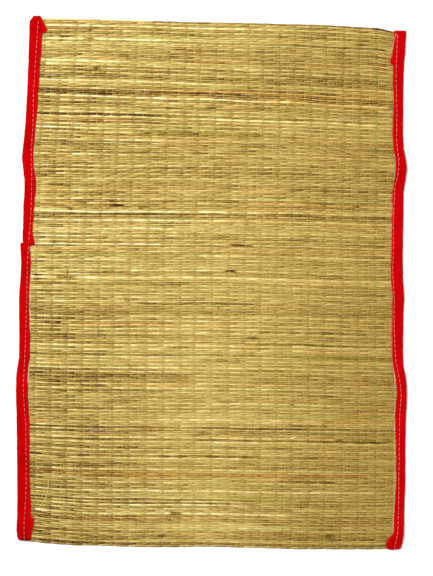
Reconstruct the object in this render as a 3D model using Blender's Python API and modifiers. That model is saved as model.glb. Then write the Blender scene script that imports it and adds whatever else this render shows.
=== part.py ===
"""Meditation mat of woven grass, with cloth tape folded over both long sides.

The mat lies open on a floor. Metres, +Z up: X runs along the reeds from the left tape
to the right one, +Y points to the far end, and the origin is on the floor under the
middle of the mat. The far and near ends are bare reeds; each side is closed by tape,
and the left side has two lengths of it, the lower one lapped over the upper one.
"""

import math
import random
from collections import namedtuple

import bmesh
import bpy
import numpy as np

MM = 0.001

# Grass panel
MAT_WIDTH = 450.0 * MM
REED_COUNT = 268  # one raised rib each, about 2.3 mm apart
REED_UNEVENNESS = 0.22  # share by which reeds differ in width
RIB_HEIGHT = 0.5 * MM
LOWEST_RIB = 0.7  # share of RIB_HEIGHT
PANEL_THICKNESS = 2.4 * MM  # at a rib's crest
PRESSED_THICKNESS = 1.3 * MM  # where the seam squeezes the reeds between the tape's flaps
PRESSED_WIDTH = 12.5 * MM  # from the tape's outer fold
PRESS_SLOPE = 6.0 * MM  # over which the panel regains its thickness
REED_SETBACK = 2.2 * MM  # from the tape's outer fold to the reeds' cut ends
INNER_COLUMNS = (0.28, 0.53, 0.77, 0.93)  # shares of the open width where reeds may bend
PANEL_COLUMNS = 5 + len(INNER_COLUMNS)  # with three more edges along each side
UNDERSIDE_ROWS = 64

# Cloth tape
TAPE_THICKNESS = 1.0 * MM  # two layers, with the raw edge turned in
FIT_GAP = 0.3 * MM
UNDER_FLAP = 11.0 * MM  # reach of the lower flap, from the outer fold
FLAP_RISE = TAPE_THICKNESS + FIT_GAP
FOLDED_HEIGHT = PRESSED_THICKNESS + 2 * FLAP_RISE
PLAIN_STATION_STEP = 20.0 * MM
CLOSEST_STATIONS = 1.0 * MM
STATIONS_PER_SLOPE = 4

# The lap: the lower tape's mouth closes over the upper tape's end
LAP_FULL = 36.5 * MM
LAP_FADED = 30.0 * MM
LAP_RISE_CENTRE = 39.0 * MM
LAP_RISE_FLAT = 10.0 * MM
LAP_RISE_SLOPE = 18.0 * MM
LAP_RISE_FULL_X = -200.0 * MM
LAP_RISE_ZERO_X = -165.0 * MM

# The panel's bare ends, at the left tape's inner edge
NEAR_END = -301.6 * MM
FAR_END = 306.9 * MM

# Reeds run a little downhill to the right. How far a reed lies below its left end at each X,
# in millimetres, for six reeds on the way from the near end to the far one
Fall = namedtuple("Fall", "x near_end low middle high far_part far_end")
FALL_SHARES = (0.0, 0.25, 0.5, 0.72, 0.85, 1.0)
REED_FALLS = (
    Fall(-225, -2.7, -0.5, -0.2, -0.3, -0.5, 0.0),
    Fall(-183, 2.3, 0.9, 0.4, 0.6, 1.0, 0.1),
    Fall(-155, 4.3, 1.6, 0.6, 1.0, 1.9, 0.5),
    Fall(-100, 5.7, 2.4, 0.9, 1.6, 3.7, 1.7),
    Fall(0, 6.1, 3.3, 1.5, 2.4, 7.0, 4.7),
    Fall(100, 8.5, 4.8, 3.8, 3.8, 10.7, 6.3),
    Fall(160, 8.6, 6.1, 6.1, 5.6, 14.3, 9.2),
    Fall(195, 8.5, 6.6, 6.7, 6.4, 16.0, 11.3),
    Fall(225, 6.6, 6.9, 7.2, 6.9, 17.2, 18.0),
)

# Soft ridges that folding has left across the mat, in millimetres
Ridge = namedtuple("Ridge", "left_y right_y left_height right_height half_width")
RIDGES = (
    Ridge(145, 134, 2.5, 3.4, 28),
    Ridge(-20, -15, 1.4, 1.4, 24),
    Ridge(-125, -125, 3.0, 3.0, 38),
    Ridge(-283, -290, 3.0, 3.0, 25),
)

# Tape edges along the mat, in millimetres: the outer fold and the upper flap's inner edge
Edge = namedtuple("Edge", "y outer inner")
LEFT_UPPER_TAPE = (
    Edge(311, -204.5, -200.0),
    Edge(309, -207.5, -199.0),
    Edge(304, -211.2, -196.3),
    Edge(299, -211.7, -193.8),
    Edge(293.5, -211.9, -191.1),
    Edge(290.3, -212.0, -193.1),
    Edge(288.8, -212.0, -197.0),
    Edge(259, -212.9, -199.1),
    Edge(213, -214.8, -202.1),
    Edge(183, -216.6, -204.7),
    Edge(159, -218.9, -206.6),
    Edge(145, -220.0, -207.0),
    Edge(131, -218.9, -206.6),
    Edge(119, -217.5, -204.5),
    Edge(108, -217.5, -204.5),
    Edge(89, -218.7, -206.6),
    Edge(59, -219.4, -208.7),
    Edge(48, -219.5, -206.5),
    Edge(43.5, -219.5, -205.4),
    Edge(42.5, -219.5, -211.0),
    Edge(38, -219.5, -214.0),
)
LEFT_LOWER_TAPE = (
    Edge(46, -221.5, -212.1),
    Edge(44.5, -222.2, -212.1),
    Edge(37.5, -222.1, -212.0),
    Edge(35.5, -221.8, -211.0),
    Edge(22, -221.1, -210.1),
    Edge(7, -222.1, -211.0),
    Edge(-11, -223.3, -212.6),
    Edge(-29, -223.8, -212.9),
    Edge(-67, -223.5, -211.2),
    Edge(-88, -223.9, -211.8),
    Edge(-99, -225.9, -213.3),
    Edge(-113, -226.9, -214.0),
    Edge(-127, -227.0, -213.6),
    Edge(-160, -226.6, -212.4),
    Edge(-230, -225.9, -211.7),
    Edge(-259, -225.8, -210.5),
    Edge(-272.5, -225.9, -209.8),
    Edge(-274.3, -225.9, -206.1),
    Edge(-288, -226.4, -208.4),
    Edge(-296, -225.6, -209.8),
    Edge(-300.4, -223.8, -210.9),
)
RIGHT_TAPE = (
    Edge(293, 226.7, 212.7),
    Edge(278, 226.0, 211.7),
    Edge(267.5, 225.5, 210.5),
    Edge(254.2, 224.1, 207.4),
    Edge(252.8, 224.1, 211.2),
    Edge(230, 223.3, 211.0),
    Edge(207, 223.2, 212.2),
    Edge(172, 222.9, 210.5),
    Edge(157, 223.7, 211.7),
    Edge(143, 225.8, 213.7),
    Edge(133.5, 226.8, 214.1),
    Edge(119.5, 225.7, 213.1),
    Edge(104.5, 223.5, 210.4),
    Edge(85, 223.5, 210.6),
    Edge(32, 222.6, 209.5),
    Edge(5.5, 222.8, 208.8),
    Edge(-15.5, 224.1, 211.1),
    Edge(-34, 223.5, 210.5),
    Edge(-78, 222.9, 210.4),
    Edge(-94.5, 223.2, 211.4),
    Edge(-113, 226.2, 214.8),
    Edge(-129.5, 227.0, 216.0),
    Edge(-153, 226.4, 213.7),
    Edge(-189, 225.6, 215.1),
    Edge(-230, 225.6, 215.8),
    Edge(-253, 224.8, 214.1),
    Edge(-290.7, 223.5, 211.9),
    Edge(-298.3, 222.6, 206.0),
    Edge(-303.5, 221.8, 203.8),
    Edge(-308.8, 220.5, 204.8),
    Edge(-311, 218.3, 209.0),
)


def clear_scene():
    for obj in list(bpy.data.objects):
        bpy.data.objects.remove(obj)


def table_value(rows, along, column, position):
    """A table's column in metres, read between its rows at a position in metres."""
    places = [getattr(row, along) for row in rows]
    values = [getattr(row, column) for row in rows]
    if places[0] > places[-1]:
        places.reverse()
        values.reverse()
    return float(np.interp(position / MM, places, values)) * MM


def cosine_bump(distance, half_width):
    """1 in the middle, falling smoothly to 0 at half_width."""
    if abs(distance) >= half_width:
        return 0.0
    return math.cos(math.pi / 2 * distance / half_width) ** 2


def ridge_lift(x, y):
    """How far the folding ridges raise the mat off the floor."""
    across = x / MAT_WIDTH + 0.5
    lift = 0.0
    for ridge in RIDGES:
        centre = ridge.left_y + (ridge.right_y - ridge.left_y) * across
        height = ridge.left_height + (ridge.right_height - ridge.left_height) * across
        lift += height * cosine_bump(y / MM - centre, ridge.half_width)
    return lift * MM


def lap_lift(x, y):
    """How far the lower tape's mouth raises the upper tape and the reeds beside it."""
    beyond_flat = max(0.0, abs(y - LAP_RISE_CENTRE) - LAP_RISE_FLAT)
    inward = max(0.0, x - LAP_RISE_FULL_X)
    span = LAP_RISE_ZERO_X - LAP_RISE_FULL_X
    return FLAP_RISE * cosine_bump(beyond_flat, LAP_RISE_SLOPE) * cosine_bump(inward, span)


def floor_lift(x, y):
    return ridge_lift(x, y) + lap_lift(x, y)


def reed_y(x, share):
    """Y at X of the reed that lies a share of the way from the near end to the far one."""
    falls = [table_value(REED_FALLS, "x", column, x) for column in Fall._fields[1:]]
    return NEAR_END + (FAR_END - NEAR_END) * share - float(np.interp(share, FALL_SHARES, falls))


def left_fold(y):
    """The outer fold of whichever left tape holds the reeds directly."""
    held_by_lower = [edge for edge in LEFT_LOWER_TAPE if edge.y < LAP_FULL / MM]
    return table_value(list(LEFT_UPPER_TAPE) + held_by_lower, "y", "outer", y)


def right_fold(y):
    return table_value(RIGHT_TAPE, "y", "outer", y)


def panel_column_x(column, y):
    """X of one of the panel's lengthwise columns: cut end, seam, slope, open reeds, and back."""
    left, right = left_fold(y), right_fold(y)
    offsets = (REED_SETBACK, PRESSED_WIDTH, PRESSED_WIDTH + PRESS_SLOPE)
    if column < len(offsets):
        return left + offsets[column]
    from_right = PANEL_COLUMNS - column
    if from_right < len(offsets):
        return right - offsets[from_right]
    open_left = left + offsets[-1]
    open_right = right - offsets[-1]
    return open_left + (open_right - open_left) * INNER_COLUMNS[column - len(offsets)]


def panel_place(column, share):
    """X and Y of a panel point; the side edges follow Y, and Y follows the sloping reeds."""
    y = reed_y(0.0, share)
    for _ in range(3):
        x = panel_column_x(column, y)
        y = reed_y(x, share)
    return x, y


def is_pressed(column):
    """The outer strip on each side, which the seam squeezes."""
    return column <= 1 or column >= PANEL_COLUMNS - 1


def reed_shares():
    """Where the furrows between reeds lie, as shares of the panel's length."""
    widths = random.Random(11)
    steps = [1 + REED_UNEVENNESS * widths.uniform(-1, 1) for _ in range(REED_COUNT)]
    furrows = np.concatenate([[0.0], np.cumsum(steps)])
    return furrows / furrows[-1]


def furrow_and_crest_rows():
    """Share and rib height of every row of the upper face: furrow, crest, furrow and so on."""
    furrows = reed_shares()
    heights = random.Random(5)
    rows = [(furrows[0], 0.0)]
    for start, end in zip(furrows[:-1], furrows[1:]):
        rows.append(((start + end) / 2, RIB_HEIGHT * heights.uniform(LOWEST_RIB, 1)))
        rows.append((end, 0.0))
    return rows


def grid_rows(bm, columns, row_shares, height_at):
    """Adds a grid primitive, moves it onto the panel's plan, and returns its rows of vertices."""
    made = bmesh.ops.create_grid(bm, x_segments=columns, y_segments=len(row_shares) - 1, size=1)
    rows = [[None] * (columns + 1) for _ in row_shares]
    for vertex in made["verts"]:
        column = round((vertex.co.x + 1) / 2 * columns)
        row = round((vertex.co.y + 1) / 2 * (len(row_shares) - 1))
        x, y = panel_place(column, row_shares[row])
        vertex.co = (x, y, floor_lift(x, y) + height_at(column, row))
        rows[row][column] = vertex
    return rows


def close_end(bm, upper_row, lower_row):
    """Walls up a bare end, column by column."""
    for n in range(len(upper_row) - 1):
        bm.faces.new((upper_row[n], upper_row[n + 1], lower_row[n + 1], lower_row[n]))


def close_side(bm, upper, lower):
    """Walls up a side between the ribbed upper edge and the coarser lower one."""
    high, low = 0, 0
    while high < len(upper) - 1 or low < len(lower) - 1:
        step_up = low == len(lower) - 1 or (
            high < len(upper) - 1 and upper[high + 1].co.y < lower[low + 1].co.y
        )
        if step_up:
            bm.faces.new((upper[high], upper[high + 1], lower[low]))
            high += 1
        else:
            bm.faces.new((upper[high], lower[low + 1], lower[low]))
            low += 1


def woven_panel_mesh():
    """The grass cloth: a rib for every reed above, and a smooth face below."""
    rows = furrow_and_crest_rows()

    def upper_height(column, row):
        if is_pressed(column):
            crest = FLAP_RISE + PRESSED_THICKNESS
        else:
            crest = PANEL_THICKNESS
        return crest - RIB_HEIGHT + rows[row][1]

    def lower_height(column, _row):
        return FLAP_RISE if is_pressed(column) else 0.0

    bm = bmesh.new()
    upper = grid_rows(bm, PANEL_COLUMNS, [share for share, _ in rows], upper_height)
    lower_shares = [n / UNDERSIDE_ROWS for n in range(UNDERSIDE_ROWS + 1)]
    lower = grid_rows(bm, PANEL_COLUMNS, lower_shares, lower_height)
    close_end(bm, upper[0], lower[0])
    close_end(bm, upper[-1], lower[-1])
    close_side(bm, [row[0] for row in upper], [row[0] for row in lower])
    close_side(bm, [row[-1] for row in upper], [row[-1] for row in lower])
    bmesh.ops.recalc_face_normals(bm, faces=bm.faces)
    mesh = bpy.data.meshes.new("woven_panel")
    bm.to_mesh(mesh)
    bm.free()
    return mesh


def lap_swell(y):
    """How much further apart the lower tape's flaps stand, on each side, at the lap."""
    return FLAP_RISE * float(np.interp(y, [LAP_FADED, LAP_FULL], [0, 1]))


def no_swell(_y):
    return 0.0


def tape_stations(edges, side):
    """Y of every section of a tape: its table's rows, the ridges, and a plain spacing between."""
    start, end = edges[-1].y * MM, edges[0].y * MM
    from_table = {edge.y * MM for edge in edges}
    slope_shares = [n / STATIONS_PER_SLOPE for n in range(STATIONS_PER_SLOPE + 1)]
    stations = set(from_table)
    for ridge in RIDGES:
        centre = (ridge.left_y if side < 0 else ridge.right_y) * MM
        for share in slope_shares:
            away = ridge.half_width * MM * share
            stations.update((centre - away, centre + away))
    if side < 0:
        stations.update((LAP_FADED, LAP_FULL))
        for share in slope_shares:
            away = LAP_RISE_FLAT + LAP_RISE_SLOPE * share
            stations.update((LAP_RISE_CENTRE - away, LAP_RISE_CENTRE + away))
    count = math.ceil((end - start) / PLAIN_STATION_STEP)
    stations.update(start + (end - start) * n / count for n in range(count + 1))
    kept = []
    for y in sorted(station for station in stations if start <= station <= end):
        if not kept or y - kept[-1] >= CLOSEST_STATIONS:
            kept.append(y)
        elif y in from_table:
            kept[-1] = y
    kept[0], kept[-1] = start, end
    return kept


def tape_section(edges, side, y, swell_at):
    """The tape's outer face at one station, from the upper flap round the fold to the lower flap."""
    outer = table_value(edges, "y", "outer", y)
    inner = table_value(edges, "y", "inner", y)
    swell = swell_at(y)
    radius = FOLDED_HEIGHT / 2 + swell
    reach = abs(outer - inner)
    under = outer - side * min(UNDER_FLAP, reach)
    base = floor_lift(outer, y) - swell
    fold_x = outer - side * radius
    section = [(inner, base + 2 * radius)]
    for degrees in (90, 45, 0, -45, -90):
        angle = math.radians(degrees)
        x = fold_x + side * radius * math.cos(angle)
        section.append((x, base + radius + radius * math.sin(angle)))
    section.append((under, base))
    return section


def tape_mesh(name, edges, side, swell_at):
    """A strip of cloth as a grid primitive, folded in a U round the reeds' ends."""
    stations = tape_stations(edges, side)
    sections = [tape_section(edges, side, y, swell_at) for y in stations]
    across = len(sections[0]) - 1
    along = len(stations) - 1
    bm = bmesh.new()
    bmesh.ops.create_grid(bm, x_segments=across, y_segments=along, size=1)
    for vertex in bm.verts:
        column = round((vertex.co.x + 1) / 2 * across)
        row = round((vertex.co.y + 1) / 2 * along)
        x, z = sections[row][column]
        vertex.co = (x, stations[row], z)
    if side < 0:
        bmesh.ops.reverse_faces(bm, faces=bm.faces)
    mesh = bpy.data.meshes.new(name)
    bm.to_mesh(mesh)
    bm.free()
    return mesh


def finish_material(name, colour, roughness):
    material = bpy.data.materials.new(name)
    material.use_nodes = True
    shader = material.node_tree.nodes["Principled BSDF"]
    shader.inputs["Base Color"].default_value = (*colour, 1.0)
    shader.inputs["Roughness"].default_value = roughness
    shader.inputs["Metallic"].default_value = 0.0
    return material


def add_object(collection, mesh, material):
    obj = bpy.data.objects.new(mesh.name, mesh)
    collection.objects.link(obj)
    mesh.materials.append(material)
    return obj


def build_mat():
    clear_scene()
    collection = bpy.data.collections.new("meditation_mat")
    bpy.context.scene.collection.children.link(collection)
    straw = finish_material("dried_grass", (0.52, 0.37, 0.11), 0.55)
    add_object(collection, woven_panel_mesh(), straw)
    tapes = (
        ("left_upper_tape", LEFT_UPPER_TAPE, -1, no_swell),
        ("left_lower_tape", LEFT_LOWER_TAPE, -1, lap_swell),
        ("right_tape", RIGHT_TAPE, 1, no_swell),
    )
    for name, edges, side, swell_at in tapes:
        cloth = finish_material(name + "_cloth", (0.58, 0.004, 0.004), 0.8)
        tape = add_object(collection, tape_mesh(name, edges, side, swell_at), cloth)
        thickness = tape.modifiers.new("cloth thickness", "SOLIDIFY")
        thickness.thickness = TAPE_THICKNESS
        thickness.offset = -1
        thickness.use_even_offset = True
        thickness.use_quality_normals = True


build_mat()
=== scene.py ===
import math
import random
from collections import namedtuple

import bpy
import numpy as np
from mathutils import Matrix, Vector
from mathutils.bvhtree import BVHTree


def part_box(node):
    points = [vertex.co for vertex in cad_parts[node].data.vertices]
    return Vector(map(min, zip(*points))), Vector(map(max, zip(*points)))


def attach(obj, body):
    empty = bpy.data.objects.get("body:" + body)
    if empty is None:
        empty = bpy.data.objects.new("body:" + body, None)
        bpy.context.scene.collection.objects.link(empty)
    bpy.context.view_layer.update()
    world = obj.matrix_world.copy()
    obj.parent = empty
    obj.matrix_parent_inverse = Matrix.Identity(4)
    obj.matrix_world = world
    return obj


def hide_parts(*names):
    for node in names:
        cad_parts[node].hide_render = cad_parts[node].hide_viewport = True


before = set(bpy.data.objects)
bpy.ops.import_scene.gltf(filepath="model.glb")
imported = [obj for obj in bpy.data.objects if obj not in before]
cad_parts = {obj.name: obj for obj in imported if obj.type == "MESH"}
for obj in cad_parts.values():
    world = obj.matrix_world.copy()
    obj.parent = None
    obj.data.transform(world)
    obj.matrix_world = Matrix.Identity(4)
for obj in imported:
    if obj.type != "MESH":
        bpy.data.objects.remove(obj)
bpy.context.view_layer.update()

# Grass reeds
# The weft of the mat: dried grass stems, about 2.3 mm wide each, laid side by side from edge to
# edge. Each stem dips under one cotton thread and rises over the next, and its neighbour does
# the opposite, so the face shows short raised lengths in a brick pattern.

MM = 0.001
REED_COUNT = 268
REED_UNEVENNESS = 0.22  # share by which reeds differ in width
NEAR_END = -301.2 * MM
FAR_END = 306.9 * MM
REED_SIDES = 7
STRIPS = (45, 45, 45, 45, 44, 44)  # reeds in each piece, from the near end
WAVE = 0.15  # rise and dip of a reed, as a share of the mat's thickness
REED_HALF_HEIGHT = 0.29  # share of the mat's thickness
THREAD_COUNT = 46
THREAD_RADIUS = 0.23 * MM
THREAD_UNEVENNESS = 0.2
PINCH_REACH = 0.13  # how far beside a thread its grip on the reed is seen, in thread spacings
SQUASHED_BASE = 1.26  # how much wider a reed is below its middle, where it meets its neighbours
END_INSET = 0.3 * MM  # from the panel's sides to the reeds' ends, under the tapes
THIN_SHARE = 0.12  # of the reeds, which are narrower, lower and darker than the rest
PALE_SHARE = 0.18  # of the reeds, which are paler along most of their length: partly their own tone, partly a painted highlight
SHARED_SWAY = 0.26 * MM  # how far five neighbours bend together
OWN_SWAY = 0.08 * MM
LENGTH_TONE = 0.065  # how far the lengths between nicks differ in painted light and shade, for the angle each has settled at
LENGTH_RISE = 0.13  # how much paler such a length is painted at its left end than at its right one, as painted light and shade
LENGTH_SHINE = 0.08  # a painted highlight added near its left end
MARK_FADE = 3 * MM
STRONG_MARK = 0.3  # from this on, a stain or painted highlight hides most of the reed's own tone
PATTERN_STEP = 1.737  # sets each reed's streaks apart from the next one's

# How far a reed lies below its left end at each X, in millimetres, for six reeds on the way from
# the near end of the mat to the far one
Fall = namedtuple("Fall", "x near_end low middle high far_part far_end")
FALL_SHARES = (0.0, 0.25, 0.5, 0.72, 0.85, 1.0)
REED_FALLS = (
    Fall(-225, -2.7, -0.5, -0.2, -0.3, -0.5, 0.0),
    Fall(-183, 2.3, 0.9, 0.4, 0.6, 1.0, 0.1),
    Fall(-155, 4.3, 1.6, 0.6, 1.0, 1.9, 0.5),
    Fall(-100, 5.7, 2.4, 0.9, 1.6, 3.7, 1.7),
    Fall(0, 6.1, 3.3, 1.5, 2.4, 7.0, 4.7),
    Fall(100, 8.5, 4.8, 3.8, 3.8, 10.7, 6.3),
    Fall(160, 8.6, 6.1, 6.1, 5.6, 14.3, 9.2),
    Fall(195, 8.5, 6.6, 6.7, 6.4, 16.0, 11.3),
    Fall(225, 6.6, 6.9, 7.2, 6.9, 17.2, 18.0),
)

# Where the outermost cotton threads run, in millimetres
Selvedge = namedtuple("Selvedge", "y left right")
SELVEDGES = (
    Selvedge(-305, -212.0, 209.5),
    Selvedge(-258, -212.5, 212.5),
    Selvedge(-190, -212.3, 212.7),
    Selvedge(-113, -211.8, 212.8),
    Selvedge(-75, -211.2, 212.0),
    Selvedge(-15, -210.4, 212.3),
    Selvedge(38, -209.3, 211.5),
    Selvedge(143, -206.0, 213.6),
    Selvedge(259, -200.8, 213.2),
    Selvedge(306, -199.0, 213.5),
)

# Darker, paler, greener (hue above 0) and redder (below 0) lengths of single reeds, in millimetres. The
# darker ones are stains; the paler ones are partly the reeds' own tone and partly a painted highlight
# along them. Tone and hue are added to the reed's own. Other lengths are worn at random, below.
StainOrHighlight = namedtuple("StainOrHighlight", "x_from x_to y reeds tone hue", defaults=(0.0,))
STAINS_AND_HIGHLIGHTS = (
    StainOrHighlight(-80, 60, 173, 1, -0.16, 0.8),
    StainOrHighlight(40, 212, -71.3, 1, -0.08, 1.0),
    StainOrHighlight(100, 212, -88, 1, -0.05, 0.8),
    StainOrHighlight(90, 135, -166, 1, -0.10, 0.8),
    StainOrHighlight(140, 212, -183, 1, -0.12, 1.0),
    StainOrHighlight(20, 118, -250, 1, -0.04, 0.7),
    StainOrHighlight(-119, -102, 89.3, 1, -0.60),
    StainOrHighlight(22, 46, 43.4, 1, -0.58),
    StainOrHighlight(-26, -13, 81.8, 1, -0.50),
    StainOrHighlight(16, 30, 12, 1, -0.58),
    StainOrHighlight(-209, -190, 3.2, 1, -0.46),
    StainOrHighlight(-180, -167, -201.7, 1, -0.36),
    StainOrHighlight(-57, -34, 203, 1, -0.34),
    StainOrHighlight(41, 54, -65, 1, -0.36),
    StainOrHighlight(-13, 41, -90.5, 1, -0.30),
    StainOrHighlight(-47, -35, -269.6, 1, -0.50),
    StainOrHighlight(-63, -51, -293.2, 1, -0.45),
    StainOrHighlight(91, 96, -142.7, 1, -0.45),
    StainOrHighlight(9, 62, -176.7, 1, -0.16),
    StainOrHighlight(-200, -70, 306.8, 1, 0.34),
    StainOrHighlight(-150, -124, -119.6, 1, -0.32),
    StainOrHighlight(168, 180, 277, 1, -0.36),
    StainOrHighlight(-200, 190, -290.4, 1, -0.16),
    StainOrHighlight(-200, 190, -293.6, 1, 0.24),
    StainOrHighlight(-200, 190, -298.0, 2, -0.05),
    StainOrHighlight(-205, 40, 298.5, 1, 0.20),
    StainOrHighlight(-205, 150, 287.9, 1, 0.18),
    StainOrHighlight(-205, 60, 256.3, 1, 0.20),
    StainOrHighlight(-205, 205, 218.6, 1, 0.30, -0.4),
    StainOrHighlight(-60, 205, 222.4, 2, 0.08, -0.6),
    StainOrHighlight(-205, -60, 222.4, 2, -0.24),
    StainOrHighlight(-207, 20, 82.6, 1, 0.32),
    StainOrHighlight(-168, -60, 81.2, 1, -0.34),
    StainOrHighlight(-207, 0, 63.5, 1, 0.26),
    StainOrHighlight(-207, -20, 54.9, 1, 0.30),
    StainOrHighlight(-207, -60, 46.0, 1, 0.22),
    StainOrHighlight(-207, -100, 28, 2, 0.20),
    StainOrHighlight(-207, -80, 20, 1, 0.24),
    StainOrHighlight(-208, -140, 12, 2, 0.24),
    StainOrHighlight(-207, -80, -4.9, 1, 0.24),
    StainOrHighlight(-207, -100, -21, 2, 0.14),
    StainOrHighlight(-168, -161, 85.7, 1, -0.44),
    StainOrHighlight(-188, -177, 47.3, 1, -0.42),
    StainOrHighlight(-208, -196, 8.5, 1, -0.48),
    StainOrHighlight(-181, -157, 5.5, 1, -0.36),
    StainOrHighlight(-207, -160, 30.6, 1, -0.22),
    StainOrHighlight(-203, -60, 283.7, 1, 0.20),
    StainOrHighlight(-203, -20, 278.3, 1, 0.18),
    StainOrHighlight(-203, -40, 274.6, 1, 0.20),
    StainOrHighlight(-203, -100, 261.2, 2, 0.20),
    StainOrHighlight(-204, -60, 238.9, 1, 0.16),
    StainOrHighlight(-204, -80, 233.3, 1, 0.14),
    StainOrHighlight(-178, -160, 285.7, 1, -0.42),
    StainOrHighlight(-148, -137, 284.2, 1, -0.36),
    StainOrHighlight(-158, -148, 250.8, 1, -0.56),
    StainOrHighlight(-138, -131, 249.7, 1, -0.56),
    StainOrHighlight(-193, -187, 222.3, 1, -0.44),
    StainOrHighlight(-205, 180, -218.7, 1, -0.12, -0.8),
    StainOrHighlight(-205, 0, -220.9, 1, 0.18),
    StainOrHighlight(-205, 80, -226, 1, 0.16),
    StainOrHighlight(-205, 190, -238.4, 1, 0.22),
    StainOrHighlight(-205, 40, -252.9, 1, 0.18),
    StainOrHighlight(-205, 90, -263.3, 1, 0.20),
    StainOrHighlight(-205, 60, -273.9, 1, 0.26),
    StainOrHighlight(-205, 90, -279.7, 1, 0.24),
    StainOrHighlight(90, 215, 199, 1, 0.16),
    StainOrHighlight(-82, -52, 218.6, 1, 0.24, -0.5),
    StainOrHighlight(-4, 5, 202.1, 1, -0.45),
    StainOrHighlight(90, 215, 210, 2, -0.12),
)

WORN_DULL = (30, 120, -0.18)  # how many lengths, how long in millimetres, and what is added to the tone
WORN_PALE = (7, 190, 0.15)

# How the tone changes along the mat, and how strongly the reeds' painted shading and tone differences
# show across it, in its far and its near part
BAND_PLACES = np.array((-300, -245, -146, -48, 50, 147, 245, 300)) * MM
BAND_TONES = (-0.08, -0.10, -0.03, -0.01, -0.02, -0.05, -0.05, -0.04)
DEPTH_PLACES = np.array((-200, -60, 60, 200)) * MM
FAR_DEPTHS = (1.34, 1.12, 0.92, 0.72)
NEAR_DEPTHS = (1.32, 0.92, 0.70, 0.50)


def surface_of(mesh):
    """A mesh's surface, for reading places off it."""
    corners = [vertex.co.copy() for vertex in mesh.vertices]
    faces = [tuple(face.vertices) for face in mesh.polygons]
    return BVHTree.FromPolygons(corners, faces)


def highest(surface, x, y, otherwise=None):
    hit = surface.ray_cast(Vector((x, y, 0.1)), Vector((0, 0, -1)))[0]
    return hit.z if hit else otherwise


def lowest(surface, x, y):
    hit = surface.ray_cast(Vector((x, y, -0.1)), Vector((0, 0, 1)))[0]
    return hit.z if hit else None


def side_line(name, side):
    """A node's outermost points on one side, as Y and X in step."""
    corners = np.array([vertex.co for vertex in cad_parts[name].data.vertices])
    bands = np.round(corners[:, 1] / (3 * MM))
    found = []
    for band in np.unique(bands):
        inside = corners[bands == band]
        found.append(inside[np.argmax(side * inside[:, 0])][:2])
    found = np.array(found)
    return found[:, 1], found[:, 0]


def reed_y(x, share):
    """Y at X of the reed that lies a share of the way from the near end to the far one."""
    places = [fall.x * MM for fall in REED_FALLS]
    columns = [[getattr(fall, name) * MM for fall in REED_FALLS] for name in Fall._fields[1:]]
    falls = np.array([np.interp(x, places, column) for column in columns])
    part = np.interp(share, FALL_SHARES, range(len(FALL_SHARES))) * np.ones(x.shape)
    before = np.minimum(part.astype(int), len(FALL_SHARES) - 2)
    weight = part - before
    fall_before = np.take_along_axis(falls, before[None], 0)[0]
    fall_after = np.take_along_axis(falls, before[None] + 1, 0)[0]
    fall = fall_before * (1 - weight) + fall_after * weight
    return NEAR_END + (FAR_END - NEAR_END) * share - fall


def worn_lengths(chance, count, length, tone):
    """Dull or pale lengths of single reeds, anywhere on the mat."""
    worn = []
    for _ in range(count):
        start = chance.uniform(-210, 215 - length)
        end = start + length * chance.uniform(0.8, 1.2)
        y = chance.uniform(-295, 300)
        worn.append(StainOrHighlight(start, end, y, 1, tone * chance.uniform(0.8, 1.2)))
    return worn


def reed_furrows():
    """Where the furrows between reeds lie, as shares of the mat's length."""
    widths = random.Random(11)
    steps = [1 + REED_UNEVENNESS * widths.uniform(-1, 1) for _ in range(REED_COUNT)]
    furrows = np.concatenate([[0.0], np.cumsum(steps)])
    return furrows / furrows[-1]


def thread_lines(y):
    """X of every cotton thread at each given Y, one more column for each thread."""
    chance = np.random.default_rng(3)
    steps = 1 + THREAD_UNEVENNESS * chance.uniform(-1, 1, THREAD_COUNT - 1)
    across = np.concatenate([[0.0], np.cumsum(steps)]) / steps.sum()
    places = [row.y * MM for row in SELVEDGES]
    left = np.interp(y, places, [row.left * MM for row in SELVEDGES])
    right = np.interp(y, places, [row.right * MM for row in SELVEDGES])
    waves = chance.uniform(60, 160, THREAD_COUNT) * MM
    starts = chance.uniform(0, 2 * math.pi, THREAD_COUNT)
    wander = 0.6 * MM * np.sin(2 * math.pi * y / waves + starts)
    wander[:, 0] = 0.0
    wander[:, -1] = 0.0
    return left + (right - left) * across + wander


def stations_of(parity):
    """The places along a reed that get a section, in thread spacings from the first thread."""
    places = [-1.0, float(THREAD_COUNT)]
    for thread in range(THREAD_COUNT):
        places.append(float(thread))
        if thread < THREAD_COUNT - 1:
            places.append(thread + 0.5)
        if (thread + parity) % 2:
            places.extend((thread - PINCH_REACH, thread + PINCH_REACH))
    return np.array(sorted(places))


def drift(chance, places, length):
    """Smooth unevenness along each row, mostly -1 to 1, that turns about once in a length."""
    steps = (places - places.min()) / length
    knots = chance.normal(size=(len(places), int(steps.max()) + 2))
    before = steps.astype(int)
    weight = steps - before
    weight = weight * weight * (3 - 2 * weight)
    knot_before = np.take_along_axis(knots, before, 1)
    knot_after = np.take_along_axis(knots, before + 1, 1)
    return knot_before * (1 - weight) + knot_after * weight


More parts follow.
